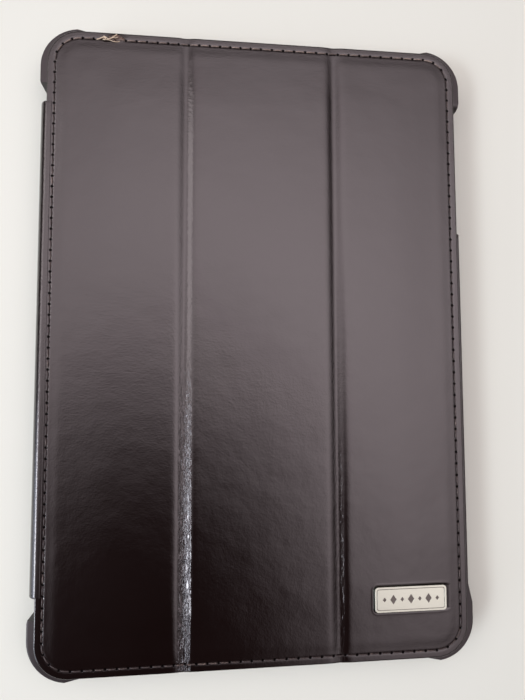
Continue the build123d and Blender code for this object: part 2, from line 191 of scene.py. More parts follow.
# The mould texture is about 0.25 mm across and leaves the plastic satin; handling polishes it in patches.
texture = node(tree, "ShaderNodeTexNoise", {"Vector": place, "Scale": 4.0, "Detail": 2.0})
rubbed = node(tree, "ShaderNodeTexNoise", {"Vector": place, "Scale": 0.08, "Detail": 4.0})
shades = {0: rubbed.outputs["Fac"], "A": srgb("#1c1718"), "B": srgb("#2b2425")}
shade = node(tree, "ShaderNodeMix", shades, data_type="RGBA")
gloss = node(tree, "ShaderNodeMapRange", {0: rubbed.outputs["Fac"], 1: 0.3, 2: 0.7, 3: 0.32, 4: 0.5})
bumps = {"Height": texture.outputs["Fac"], "Strength": 0.35, "Distance": 0.00003}
relief = node(tree, "ShaderNodeBump", bumps)
tree.links.new(shade.outputs["Result"], shader.inputs["Base Color"])
tree.links.new(gloss.outputs[0], shader.inputs["Roughness"])
tree.links.new(relief.outputs[0], shader.inputs["Normal"])
shader.inputs["IOR"].default_value = 1.58


def refinish(cad_node, material):
    """Gives a moulded, cut or stamped part its real finish."""
    slots = frame["nodes"][cad_node].material_slots
    if not slots:
        frame["nodes"][cad_node].data.materials.append(material)
    for one in slots:
        one.material = material


refinish("back_shell", shell_finish)

# ---------------------------------------------------------------- back leather
# A flat sheet of the cover's leather, glued into a shallow recess in the tray, with its edge eased and a
# punched hole for the tablet's camera. It is one hide with the spine, and turns up round its lower bend.

MM = 0.001
HALF_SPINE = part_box("spine_leather")[1].y / MM
SPINE_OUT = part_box("spine_leather")[0].x / MM
LOWER_AXIS = [c / MM for c in frame["joints"][0]["pos_m"]]
UPPER_AXIS = [c / MM for c in frame["joints"][1]["pos_m"]]
BEND = 1.1
SPINE_MIDDLE = (LOWER_AXIS[2] + UPPER_AXIS[2]) / 2


def waxed_leather(name, grooved):
    """Corrected-grain cowhide, dyed nearly black-brown, waxed and plated to a high gloss."""
    material, tree, shader, place = finish_named(name)
    # Pores about 0.5 mm apart show where the reflection of a lamp ends, with a looser pebble of
    # about 0.8 mm under them and a slow waviness of the board and glue below, 20 mm long.
    pores = node(tree, "ShaderNodeTexVoronoi", {"Vector": place, "Scale": 2.1, "Randomness": 1.0})
    soft = {"Vector": place, "Scale": 1.3, "Detail": 3.0, "Roughness": 0.6}
    pebble = node(tree, "ShaderNodeTexNoise", soft)
    # The pores stand prouder over the far and middle parts of the hide than at its near end.
    y = node(tree, "ShaderNodeSeparateXYZ", {0: place}).outputs[1]
    raised = node(tree, "ShaderNodeMapRange", {0: y, 1: -45.0, 2: -12.0, 3: 0.3, 4: 1.0})
    pressed = {0: pores.outputs["Distance"], 1: raised.outputs[0]}
    grain = node(tree, "ShaderNodeMath", pressed, operation="MULTIPLY")
    wave = node(tree, "ShaderNodeTexNoise", {"Vector": place, "Scale": 0.05, "Detail": 4.0})
    slow = {"Vector": place, "Scale": 0.022, "Detail": 5.0, "Roughness": 0.6}
    wear = node(tree, "ShaderNodeTexNoise", slow)
    shades = {0: wear.outputs["Fac"], "A": srgb("#0d0605"), "B": srgb("#150b0a")}
    dye = node(tree, "ShaderNodeMix", shades, data_type="RGBA")
    colour = dye.outputs["Result"]
    bumps = {"Height": wave.outputs["Fac"], "Strength": 1.0, "Distance": 0.00030}
    relief = node(tree, "ShaderNodeBump", bumps)
    bumps = {"Height": pebble.outputs["Fac"], "Strength": 0.8, "Distance": 0.00002}
    relief = node(tree, "ShaderNodeBump", {**bumps, "Normal": relief.outputs[0]})
    bumps = {"Height": grain.outputs[0], "Strength": 0.7, "Distance": 0.00004}
    relief = node(tree, "ShaderNodeBump", {**bumps, "Normal": relief.outputs[0]})
    if grooved:
        # Folding crazes the finish: fine creases run along the groove, and their raised tops are painted
        # paler, partly as crazed finish and partly as a painted highlight.
        crazing_and_sheen = node(tree, "ShaderNodeAttribute", attribute_name="crazing_and_sheen").outputs["Fac"]
        stretched = node(tree, "ShaderNodeMapping", {"Vector": place, "Scale": (1.9, 0.42, 1.0)})
        fine = {"Scale": 1.0, "Detail": 3.0, "Roughness": 0.6, "Distortion": 0.5}
        crazing = node(tree, "ShaderNodeTexNoise", {"Vector": stretched.outputs[0], **fine})
        lines = node(tree, "ShaderNodeMapRange", {0: crazing.outputs["Fac"], 1: 0.40, 2: 0.62})
        level = node(tree, "ShaderNodeMath", {0: lines.outputs[0], 1: 0.5}, operation="SUBTRACT")
        amount = node(tree, "ShaderNodeMath", {0: crazing_and_sheen, 1: level.outputs[0]}, operation="MULTIPLY")
        bumps = {"Height": amount.outputs[0], "Strength": 1.0, "Distance": 0.00009}
        relief = node(tree, "ShaderNodeBump", {**bumps, "Normal": relief.outputs[0]})
        # The pale grey here is partly paler crazed finish and partly a painted highlight on the crease
        # tops.
        paler = {0: amount.outputs[0], 1: 0.12, 2: 0.45, 3: 0.0, 4: 0.30}
        ridge_pale_and_highlight = node(tree, "ShaderNodeMapRange", paler)
        shades = {0: ridge_pale_and_highlight.outputs[0], 6: colour, 7: srgb("#6f696b")}
        crazed_and_highlit = node(tree, "ShaderNodeMix", shades, data_type="RGBA")
        colour = crazed_and_highlit.outputs["Result"]
        # Each needle hole pulls the leather down round it; the hole itself is painted nearly black as
        # painted shade.
        run = node(tree, "ShaderNodeAttribute", attribute_name="seam_run").outputs["Vector"]
        split = node(tree, "ShaderNodeSeparateXYZ", {0: run})
        along = node(tree, "ShaderNodeMath", {0: split.outputs[0], 1: 0.5}, operation="PINGPONG")
        across = node(tree, "ShaderNodeMath", {0: split.outputs[1], 1: STITCH_IN}, operation="SUBTRACT")
        in_mm = {0: along.outputs[0], 1: STITCH_PITCH}
        along_mm = node(tree, "ShaderNodeMath", in_mm, operation="MULTIPLY")
        spot = node(tree, "ShaderNodeCombineXYZ", {0: along_mm.outputs[0], 1: across.outputs[0]})
        reach = node(tree, "ShaderNodeVectorMath", {0: spot.outputs[0]}, operation="LENGTH")
        rim = {0: reach.outputs["Value"], 1: 0.26, 2: 0.50, 3: 1.0, 4: 0.0}
        hole_dip_and_shade = node(tree, "ShaderNodeMapRange", rim, interpolation_type="SMOOTHSTEP")
        bumps = {"Height": hole_dip_and_shade.outputs[0], "Strength": 1.0, "Distance": 0.00025}
        relief = node(tree, "ShaderNodeBump", {**bumps, "Normal": relief.outputs[0]}, invert=True)
        shades = {0: hole_dip_and_shade.outputs[0], 6: colour, 7: srgb("#060404")}
        holes_painted_dark = node(tree, "ShaderNodeMix", shades, data_type="RGBA")
        colour = holes_painted_dark.outputs["Result"]
        # Where the seam has pulled, the finish is torn and the paler corium shows in flakes.
        torn = node(tree, "ShaderNodeAttribute", attribute_name="torn").outputs["Fac"]
        cells = {0: torn, 1: pores.outputs["Distance"]}
        flakes = node(tree, "ShaderNodeMath", cells, operation="MULTIPLY")
        bare = node(tree, "ShaderNodeMapRange", {0: flakes.outputs[0], 1: 0.22, 2: 0.55})
        shades = {0: bare.outputs[0], 6: colour, 7: srgb("#75655c")}
        flaked = node(tree, "ShaderNodeMix", shades, data_type="RGBA")
        colour = flaked.outputs["Result"]
        bumps = {"Height": flakes.outputs[0], "Strength": 1.0, "Distance": 0.0004}
        relief = node(tree, "ShaderNodeBump", {**bumps, "Normal": relief.outputs[0]})
        # The coat is taken off over the holes painted dark and over the bare flakes.
        either = {0: hole_dip_and_shade.outputs[0], 1: bare.outputs[0]}
        lost = node(tree, "ShaderNodeMath", either, operation="MAXIMUM")
        kept = node(tree, "ShaderNodeMath", {0: 1.0, 1: lost.outputs[0]}, operation="SUBTRACT")
        tree.links.new(kept.outputs[0], shader.inputs["Coat Weight"])
        edge = node(tree, "ShaderNodeAttribute", attribute_name="painted_edge").outputs["Fac"]
        shades = {0: edge, 6: colour, 7: srgb("#120d0d")}
        painted = node(tree, "ShaderNodeMix", shades, data_type="RGBA")
        colour = painted.outputs["Result"]
    tree.links.new(colour, shader.inputs["Base Color"])
    gloss = node(tree, "ShaderNodeMapRange", {0: wear.outputs["Fac"], 1: 0.3, 2: 0.7, 3: 0.36, 4: 0.52})
    tree.links.new(gloss.outputs[0], shader.inputs["Roughness"])
    tree.links.new(relief.outputs[0], shader.inputs["Normal"])
    tree.links.new(relief.outputs[0], shader.inputs["Coat Normal"])
    shader.inputs["IOR"].default_value = 1.45
    shader.inputs["Specular IOR Level"].default_value = 0.04
    shader.inputs["Coat Weight"].default_value = 1.0
    shader.inputs["Coat Roughness"].default_value = 0.12 if grooved else 0.20
    shader.inputs["Coat IOR"].default_value = 1.7
    return material


STITCH_IN = 2.4  # from the cover's edge to the seam
STITCH_PITCH = 3.6  # from needle hole to needle hole, on average
plain_leather = waxed_leather("waxed_corrected_grain_leather", grooved=False)


def add_piece(name, points, faces, material, values=None):
    """A piece at the origin from points in millimetres, smooth, with the points that coincide merged."""
    points = np.asarray(points, float)
    rounded_off = np.round(points, 4)
    _, first, same = np.unique(rounded_off, axis=0, return_index=True, return_inverse=True)
    same = np.asarray(same).ravel()
    cleaned = []
    for face in faces:
        corners = [same[i] for i in face]
        corners = [c for n, c in enumerate(corners) if c != corners[n - 1]]
        if len(set(corners)) > 2:
            cleaned.append(corners)
    mesh = bpy.data.meshes.new(name)
    mesh.from_pydata((points[first] * MM).tolist(), [], cleaned)
    for label, row in (values or {}).items():
        row = np.asarray(row, np.float32)[first]
        flat = row.ndim == 1
        layer = mesh.attributes.new(label, "FLOAT" if flat else "FLOAT_VECTOR", "POINT")
        layer.data.foreach_set("value" if flat else "vector", row.ravel())
    mesh.polygons.foreach_set("use_smooth", [True] * len(mesh.polygons))
    mesh.materials.append(material)
    mesh.update()
    return put(name, mesh)


def faces_out(mesh, merge=None):
    """Turns every face of a closed mesh outwards, after merging the points that lie together."""
    work = bmesh.new()
    work.from_mesh(mesh)
    if merge:
        bmesh.ops.remove_doubles(work, verts=work.verts, dist=merge)
    bmesh.ops.recalc_face_normals(work, faces=work.faces)
    work.to_mesh(mesh)
    work.free()


def mesh_from(made):
    """The finished mesh of an object made by a curve or by nodes, which is then removed."""
    view = bpy.context.evaluated_depsgraph_get()
    mesh = bpy.data.meshes.new_from_object(made.evaluated_get(view))
    bpy.data.objects.remove(made)
    return mesh


def grid_faces(rows, columns, start=0, wrap=False):
    """Quads over a grid of points numbered row by row; wrap also joins the last column to the first."""
    last = columns if wrap else columns - 1
    return [
        (
            start + r * columns + c,
            start + (r + 1) * columns + c,
            start + (r + 1) * columns + (c + 1) % columns,
            start + r * columns + (c + 1) % columns,
        )
        for r in range(rows - 1)
        for c in range(last)
    ]


def strip_along_spine(name, outer, inner, half, material):
    """A strip as long as the spine, between an outer and an inner line across it, with rounded ends."""
    outer, inner = np.asarray(outer, float), np.asarray(inner, float)
    ends = [(0.0, 0.32), (0.06, 0.16), (0.2, 0.04), (0.45, 0.0)]
    rows = [(-half + far, pinch) for far, pinch in ends]
    rows += [(y, 0.0) for y in np.linspace(-half + 4, half - 4, 38)]
    rows += [(half - far, pinch) for far, pinch in reversed(ends)]
    points = []
    for y, pinch in rows:
        out = outer + (inner - outer) * pinch
        back = inner + (outer - inner) * pinch
        loop = np.vstack([out, back[::-1]])
        points += [(x, y, z) for x, z in loop]
    size = 2 * len(outer)
    faces = grid_faces(len(rows), size, wrap=True)
    faces.append(tuple(range(size)))
    faces.append(tuple(reversed(range(len(points) - size, len(points)))))
    made = add_piece(name, points, faces, material)
    faces_out(made.data)
    return made


def arc(centre, radius, start, end, count):
    """Points on an arc, from one angle to another in degrees."""
    angles = np.radians(np.linspace(start, end, count))
    return [(centre[0] + radius * math.cos(a), centre[1] + radius * math.sin(a)) for a in angles]


def flat_cut(name, outlines, low, high, bevel, material):
    """A sheet cut to an outline with any holes punched through, with slightly rounded edges."""
    line = bpy.data.curves.new(name, "CURVE")
    line.dimensions = "2D"
    line.fill_mode = "BOTH"
    line.extrude = (high - low) * MM / 2 - bevel * MM
    line.bevel_depth = bevel * MM
    line.bevel_resolution = 2
    line.offset = -bevel * MM
    for points in outlines:
        spline = line.splines.new("POLY")
        spline.points.add(len(points) - 1)
        for point, (x, y) in zip(spline.points, points):
            point.co = (x * MM, y * MM, 0, 1)
        spline.use_cyclic_u = True
    mesh = mesh_from(put(name + "_line", line))
    mesh.transform(Matrix.Translation((0, 0, (low + high) * MM / 2)))
    mesh.materials.clear()
    mesh.materials.append(material)
    faces_out(mesh, merge=1e-6)
    return put(name, mesh)


def rounded(low, high, radius, steps=12):
    """A rounded rectangle between two corners, anticlockwise."""
    (x0, y0), (x1, y1) = low, high
    corners = [(x1, y0, -90), (x1, y1, 0), (x0, y1, 90), (x0, y0, 180)]
    points = []
    for x, y, start in corners:
        centre_x = x - math.copysign(radius, x - (x0 + x1) / 2)
        centre_y = y - math.copysign(radius, y - (y0 + y1) / 2)
        points += arc((centre_x, centre_y), radius, start, start + 90, steps)
    return points


back_low, back_high = [[c / MM for c in corner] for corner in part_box("back_leather")]
BACK_LEFT = -back_high[0]
CAMERA_HOLE = (56.95, 89.8, 6.4)  # its middle and its radius
BACK_CORNER, BACK_THICK, BACK_EDGE = 10.3, 0.9, 0.18
punched = arc(CAMERA_HOLE[:2], CAMERA_HOLE[2], 0, 352, 45)
back_outline = rounded((BACK_LEFT, back_low[1]), (back_high[0], back_high[1]), BACK_CORNER)
back_sheet = flat_cut("back_sheet", [back_outline, punched], 0.0, BACK_THICK, BACK_EDGE, plain_leather)
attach(back_sheet, "shell")
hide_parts("back_leather")

SPINE_HIDE = 1.0  # the hide's thickness over the spine
BEND_START, INNER_BEND = -67.8, 0.35
bend_middle = (LOWER_AXIS[0], LOWER_AXIS[2])
up_the_spine = (2.0, 2.6, 3.4, 5.0, SPINE_MIDDLE)
lower_out = [(BACK_LEFT + 1.6, 0.004), (BACK_LEFT + 0.9, 0.0), (BEND_START, 0.0)]
lower_out += arc(bend_middle, BEND, -90, -180, 9)
lower_out += [(SPINE_OUT, z) for z in up_the_spine]
lower_in = [(BACK_LEFT + 1.6, 0.02), (BACK_LEFT + 0.9, 0.2), (BEND_START, 0.38)]
lower_in += arc(bend_middle, INNER_BEND, -90, -180, 9)
lower_in += [(SPINE_OUT + SPINE_HIDE, z) for z in up_the_spine]
lower_turn = strip_along_spine("spine_lower_leather", lower_out, lower_in, HALF_SPINE, plain_leather)
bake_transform(lower_turn)
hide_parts("spine_lower_bend")

# ---------------------------------------------------------------- tray lining
# Short-napped polyester microfibre is glued to the tray's floor under the tablet, and comes up over the
# tray's open side onto the spine, so nothing hard touches the tablet's back or edge.

lining_finish, tree, shader, place = finish_named("polyester_microfibre")
# The nap lies in brushed patches about 8 mm wide, with fibres drawn about 0.3 mm thick to show.
fibres = node(tree, "ShaderNodeTexNoise", {"Vector": place, "Scale": 3.2, "Detail": 4.0, "Roughness": 0.7})
patches = {"Vector": place, "Scale": 0.12, "Detail": 4.0, "Distortion": 0.8}
brushed = node(tree, "ShaderNodeTexNoise", patches)
both = {0: fibres.outputs["Fac"], 1: brushed.outputs["Fac"]}
nap = node(tree, "ShaderNodeMath", both, operation="MULTIPLY")
shades = {0: nap.outputs[0], "A": srgb("#2e2622"), "B": srgb("#6c5d54")}
shade = node(tree, "ShaderNodeMix", shades, data_type="RGBA")
bumps = {"Height": fibres.outputs["Fac"], "Strength": 0.6, "Distance": 0.0001}
relief = node(tree, "ShaderNodeBump", bumps)
tree.links.new(shade.outputs["Result"], shader.inputs["Base Color"])
tree.links.new(relief.outputs[0], shader.inputs["Normal"])
shader.inputs["Roughness"].default_value = 0.95
shader.inputs["Sheen Weight"].default_value = 0.5
shader.inputs["Sheen Roughness"].default_value = 0.4

floor_low, floor_high = [[c / MM for c in corner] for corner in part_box("shell_lining")]
FLOOR_CORNER, LINING_EDGE_ROUND = 10.0, 0.08
floor_outline = rounded((floor_low[0], floor_low[1]), (floor_high[0], floor_high[1]), FLOOR_CORNER)
floor_lining = flat_cut(
    "tray_floor_lining", [floor_outline, punched], floor_low[2], floor_high[2],
    LINING_EDGE_ROUND, lining_finish,
)
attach(floor_lining, "shell")
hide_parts("shell_lining")

SPINE_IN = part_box("spine_lining")[1].x / MM
CLOTH, CLOTH_BEND, CLOTH_BACK_BEND = 0.4, 0.8, 1.1
FLUSH = 0.01  # how far the strips stand off what they meet
floor_top = floor_high[2]
curl = (SPINE_IN + CLOTH_BEND, floor_top + (CLOTH_BEND + FLUSH))
down_the_spine = (SPINE_MIDDLE, 5.0, 4.0, 3.4)
lower_face = [(SPINE_IN, z) for z in down_the_spine]
lower_face += arc(curl, CLOTH_BEND, 180, 270, 7)
lower_face += [(-66.8, floor_top + FLUSH), (-66.0, floor_top + FLUSH)]
lower_back = [(SPINE_IN - CLOTH, z) for z in down_the_spine]
lower_back += arc(curl, CLOTH_BACK_BEND, 180, 270, 7)
lower_back += [(-66.8, floor_top - 0.2), (-66.0, floor_top - 0.03)]
HALF_CLOTH = HALF_SPINE - 0.1
lower_lining = strip_along_spine("spine_lower_lining", lower_face, lower_back, HALF_CLOTH, lining_finish)
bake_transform(lower_lining)
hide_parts("spine_lining")

# ---------------------------------------------------------------- boards
# Grey fibre board stiffens the spine and the three panels. It is rolled smooth, cut to size on a
# guillotine, and the leather is drawn over it.

board_finish, tree, shader, place = finish_named("calendered_fibre_board")
# Fibres run one way through the board and show as faint streaks 0.5 mm wide and 4 mm long.
grain = node(tree, "ShaderNodeMapping", {"Vector": place, "Scale": (2.0, 0.25, 2.0)})
streaks = node(tree, "ShaderNodeTexNoise", {"Vector": grain.outputs[0], "Scale": 1.0, "Detail": 5.0})
shades = {0: streaks.outputs["Fac"], "A": srgb("#77736c"), "B": srgb("#a19c93")}
shade = node(tree, "ShaderNodeMix", shades, data_type="RGBA")
bumps = {"Height": streaks.outputs["Fac"], "Strength": 0.3, "Distance": 0.00003}
relief = node(tree, "ShaderNodeBump", bumps)
tree.links.new(shade.outputs["Result"], shader.inputs["Base Color"])
tree.links.new(relief.outputs[0], shader.inputs["Normal"])
shader.inputs["Roughness"].default_value = 0.8
for board in ("spine_board", "left_board", "middle_board", "right_board"):
    refinish(board, board_finish)

# ---------------------------------------------------------------- magnets and washer
# Nickel-plated magnets are let into the boards: two bars for the stand, four that hold the cover shut,
# and a disc that wakes the tablet. A plated washer takes the badge's legs.

plated, tree, shader, place = finish_named("nickel_plate")
# Barrel polishing leaves a soft orange-peel about 1 mm across.
peel = node(tree, "ShaderNodeTexNoise", {"Vector": place, "Scale": 1.0, "Detail": 2.0})
relief = node(tree, "ShaderNodeBump", {"Height": peel.outputs["Fac"], "Strength": 0.2, "Distance": 0.00002})
gloss = node(tree, "ShaderNodeMapRange", {0: peel.outputs["Fac"], 1: 0.3, 2: 0.7, 3: 0.18, 4: 0.3})
tree.links.new(relief.outputs[0], shader.inputs["Normal"])
tree.links.new(gloss.outputs[0], shader.inputs["Roughness"])
shader.inputs["Base Color"].default_value = srgb("#c9c5bd")
shader.inputs["Metallic"].default_value = 1.0
for magnet in ("stand_magnets", "closure_magnets", "wake_magnet", "badge_washer"):
    refinish(magnet, plated)

# ---------------------------------------------------------------- cover leather
# The cover's leather is pressed down into a low margin where it is sewn, rises over the boards in three
# shallow pads, and drops between them into two grooves that the cover folds on. The edge is painted.

FOLDS = [frame["joints"][2]["pos_m"][0] / MM, frame["joints"][3]["pos_m"][0] / MM]
COVER_LEFT, COVER_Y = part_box("left_leather")[0].x / MM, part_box("left_leather")[1].y / MM
COVER_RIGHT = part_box("right_leather")[1].x / MM
LEATHER_LOW, LEATHER_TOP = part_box("left_leather")[0].z / MM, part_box("left_leather")[1].z / MM
BOARD_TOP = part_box("left_board")[1].z / MM
MARGIN_TOP = LEATHER_TOP - 0.45
WEB_TOP = LEATHER_LOW + 1.07
COVER_CORNER = 10.4
PAD_SHOULDER, PAD_CROWN = 0.18, 0.27  # the quick rise by the seam, and the slow one to a panel's middle
SEAM_CHANNEL, SEAM_CHANNEL_WIDE = 0.10, 0.45
GROOVE_WIDE = 1.9
SEAT_DEEP = 0.46  # the badge's seat, with a slight roll of leather round it
SEAT_ROLL = 0.05
MIDDLE_SEAM = (FOLDS[0] + FOLDS[1]) / 2
BADGE_MIDDLE = [(a + b) / 2 / MM for a, b in zip(*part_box("badge_plate"))]
BADGE_HALF = (11.8, 3.9)
BADGE_ROUND = 1.1


def smooth(value, low, high):
    """From 0 at low to 1 at high, eased at both ends."""
    t = np.clip((value - low) / (high - low), 0, 1)
    return t * t * (3 - 2 * t)


def from_badge(x, y):
    """How far outside the badge's outline a point is; negative inside it."""
    across = np.abs(x - BADGE_MIDDLE[0]) - BADGE_HALF[0] + BADGE_ROUND
    along = np.abs(y - BADGE_MIDDLE[1]) - BADGE_HALF[1] + BADGE_ROUND
    outside = np.hypot(np.maximum(across, 0), np.maximum(along, 0))
    return outside + np.minimum(np.maximum(across, along), 0) - BADGE_ROUND


def leather_top(x, y, inset):
    """The height of the leather's face: margin, sewn channel, padded shoulder, grooves and badge seat."""
    pad = MARGIN_TOP + PAD_SHOULDER * smooth(inset, 2.7, 6.5)
    pad = pad + PAD_CROWN * smooth(inset, 3.2, 24.0)
    pad = pad - SEAM_CHANNEL * np.exp(-(((inset - STITCH_IN) / SEAM_CHANNEL_WIDE) ** 2))
    height = pad
    for fold in FOLDS:
        valley = np.maximum(pad - WEB_TOP, 0) * np.exp(-(((x - fold) / GROOVE_WIDE) ** 2))
        height = height - valley
    seat = from_badge(x, y)
    height = height - SEAT_DEEP * (1 - smooth(seat, 0.05, 0.40))
    return height + SEAT_ROLL * np.exp(-(((seat - 0.75) / 0.3) ** 2))


BOARD_FROM_EDGE, BOARD_FROM_FOLD = 3.53, 3.81


def leather_low(x, y, inset):
    """The leather's flesh side: down on the lining at margin and grooves, and up over the boards."""
    clear = (np.abs(x - FOLDS[0]) > BOARD_FROM_FOLD) & (np.abs(x - FOLDS[1]) > BOARD_FROM_FOLD)
    return np.where((inset > BOARD_FROM_EDGE) & clear, BOARD_TOP, LEATHER_LOW)


def lines_between(low, high, step, dense=()):
    """Grid lines over a span, with extra ones where the leather bends."""
    count = max(2, int(round(abs(high - low) / step)) + 1)
    lines = set(np.round(np.linspace(low, high, count), 4))
    for centre, reach, fine in dense:
        near = np.arange(centre - reach, centre + reach + fine / 2, fine)
        lines |= {round(v, 4) for v in near if min(low, high) < v < max(low, high)}
    kept = [min(low, high)]
    for value in sorted(lines):
        if value - kept[-1] > 0.049:
            kept.append(float(value))
    kept[-1] = max(low, high)
    return kept


def outline_stations(side, edge_x, half_y, corner, across, ys):
    """Stations round the outline from seam to seam: place, inward direction, and run along the stitches.

    The second result is the run of the whole outline.
    """
    corner_x, corner_y = edge_x - side * corner, half_y - corner
    turn = corner - STITCH_IN
    stations = [(x, half_y, 0.0, -1.0, abs(x - MIDDLE_SEAM)) for x in across]
    run = abs(corner_x - MIDDLE_SEAM)

    def round_corner(centre_y, direction):
        for k in range(1, CORNER_STEPS):
            a = math.pi / 2 * k / CORNER_STEPS
            out_x, out_y = direction(a)
            place = (corner_x + out_x * corner, centre_y + out_y * corner)
            stations.append((*place, -out_x, -out_y, run + turn * a))

    round_corner(corner_y, lambda a: (side * math.sin(a), math.cos(a)))
    run += turn * math.pi / 2
    stations += [(edge_x, y, -side, 0.0, run + (corner_y - y)) for y in reversed(ys)]
    run += 2 * corner_y
    round_corner(-corner_y, lambda a: (side * math.cos(a), -math.sin(a)))
    run += turn * math.pi / 2
    stations += [(x, -half_y, 0.0, 1.0, run + abs(x - corner_x)) for x in reversed(across)]
    return np.array(stations), run + abs(corner_x - MIDDLE_SEAM)


GRID_STEP = 1.3
CORNER_STEPS = 15
PAINTED = 0.2  # the edge paint stops this far in
TORN_MIDDLE, TORN_HALF = (-46.3, 98.9), (3.6, 1.5)


def cover_layer(side, outline, edge_rings, insets, heights, dense_x, dense_y):
    """One layer of half the cover, from its outer edge to the seam in the middle panel.

    The edge is a profile carried round the outline; inside it are two faces on one grid. The results are
    the points, the faces, the finish's values for each point, and the length of the outline's seam.
    """
    edge_x, half_y, corner = outline
    (top_insets, low_insets), (top, low) = insets, heights
    across = lines_between(MIDDLE_SEAM, edge_x - side * corner, GRID_STEP, dense_x)
    if side < 0:
        across = across[::-1]
    ys = lines_between(-half_y + corner, half_y - corner, GRID_STEP, dense_y)
    base, whole = outline_stations(side, edge_x, half_y, corner, across, ys)
    profile = [(inset, None, "low") for inset in low_insets]
    profile += [(inset, z, "edge") for inset, z in edge_rings]
    profile += [(inset, None, "top") for inset in top_insets]
    bottom_z, top_z = edge_rings[0][1], edge_rings[-1][1]
    points, runs, insets, edges = [], [], [], []
    for inset, z, kind in profile:
        x = base[:, 0] + base[:, 2] * inset
        y = base[:, 1] + base[:, 3] * inset
        depth = np.full(len(x), inset)
        if kind == "edge":
            full = top(x, y, np.full(len(x), edge_rings[-1][0]))
            bed = low(x, y, np.full(len(x), low_insets[-1]))
            height = bed + (z - bottom_z) * (full - bed) / (top_z - bottom_z)
        else:
            height = (top if kind == "top" else low)(x, y, depth)
        points.append(np.stack([x, y, height], 1))
        runs.append(base[:, 4])
        insets.append(depth)
        edges.append(np.full(len(x), 1.0 if kind == "edge" and inset < PAINTED else 0.0))
    points = [np.concatenate(points)]
    faces = grid_faces(len(profile), len(base))
    seam_rows = []
    for face_of in (low, top):
        gx, gy = np.meshgrid(across, ys, indexing="ij")
        gx, gy = gx.ravel(), gy.ravel()
        depth = np.minimum(half_y - np.abs(gy), np.abs(edge_x - gx))
        start = sum(len(p) for p in points)
        seam_rows.append(start)
        points.append(np.stack([gx, gy, face_of(gx, gy, depth)], 1))
        faces += grid_faces(len(across), len(ys), start)
        runs.append(np.zeros(len(gx)))
        insets.append(depth)
        edges.append(np.zeros(len(gx)))
    # The cut at the middle seam is closed with a wall, so the layer is one solid sheet.
    below, above = seam_rows
    faces += [(below + j, below + j + 1, above + j + 1, above + j) for j in range(len(ys) - 1)]
    for station in (0, len(base) - 1):
        faces.append(tuple(r * len(base) + station for r in range(len(profile))))
    points = np.concatenate(points)
    # The left groove is folded most, and its near end has crazed and carries painted highlight on its
    # crease tops; the right one hardly has.
    x, y = points[:, 0], points[:, 1]
    near = 0.06 + 0.94 * smooth(-y, -12.0, 45.0)
    left_band = 1 - smooth(np.abs(x - FOLDS[0] - 0.3), 1.6, 2.3)
    right_band = 1 - smooth(np.abs(x - FOLDS[1]), 1.2, 2.2)
    crazing_and_sheen = near * (left_band + 0.22 * right_band)
    from_tear = np.hypot((x - TORN_MIDDLE[0]) / TORN_HALF[0], (y - TORN_MIDDLE[1]) / TORN_HALF[1])
    torn = 1 - smooth(from_tear, 0.5, 1.0)
    values = {
        "torn": torn,
        "crazing_and_sheen": crazing_and_sheen,
        "painted_edge": np.concatenate(edges),
        "seam_run": np.stack([np.concatenate(runs), np.concatenate(insets), np.zeros(len(points))], 1),
    }
    return points, faces, values, whole


def face_outwards(piece):
    """Turns every face outwards, so the highest one looks up, and keeps the edge at the seam sharp."""
    work = bmesh.new()
    work.from_mesh(piece.data)
    bmesh.ops.remove_doubles(work, verts=work.verts, dist=2e-6)
    bmesh.ops.recalc_face_normals(work, faces=work.faces)
    for edge in work.edges:
        if all(abs(v.co.x - MIDDLE_SEAM * MM) < 1e-6 for v in edge.verts):
            edge.smooth = False
    highest = max(work.faces, key=lambda f: f.calc_center_median().z)
    if highest.normal.z < 0:
        bmesh.ops.reverse_faces(work, faces=work.faces)
    work.to_mesh(piece.data)
    work.free()


def fit_over_fold(piece, nodes):
    """Bakes a half of the cover's placement into its mesh and hides the parts that it takes the place of.
    """
    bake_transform(piece)
    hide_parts(*nodes)


EDGE = [(0.34, LEATHER_LOW), (0.12, LEATHER_LOW + 0.05), (0.03, LEATHER_LOW + 0.18)]
EDGE += [(0.0, LEATHER_LOW + 0.4), (0.0, MARGIN_TOP - 0.5), (0.03, MARGIN_TOP - 0.3)]
EDGE += [(0.10, MARGIN_TOP - 0.15), (0.22, MARGIN_TOP - 0.05), (0.40, MARGIN_TOP)]
TOP_INSETS = [0.6, 0.9, 1.3, 1.6, 1.8, 1.95, 2.1, 2.25, 2.4, 2.55, 2.7, 2.85, 3.0, 3.2, 3.4, 3.65, 3.95]
TOP_INSETS += [4.3, 4.7, 5.1, 5.6, 6.4, 7.6, 9.0, COVER_CORNER]
LOW_INSETS = [COVER_CORNER, 7.0, 3.56, 3.5, 2.0]
cover_leather_finish = waxed_leather("waxed_cover_leather", grooved=True)
groove_lines = [(fold, 4.6, 0.2) for fold in FOLDS]
badge_x, badge_y = (
    [(middle + way * (reach + 0.25), 1.0, 0.12) for way in (-1, 1)]
    for middle, reach in zip(BADGE_MIDDLE[:2], BADGE_HALF)
)
STITCH_LENGTHS = {-1: 3.4, 1: 3.75}
cover_halves = {}
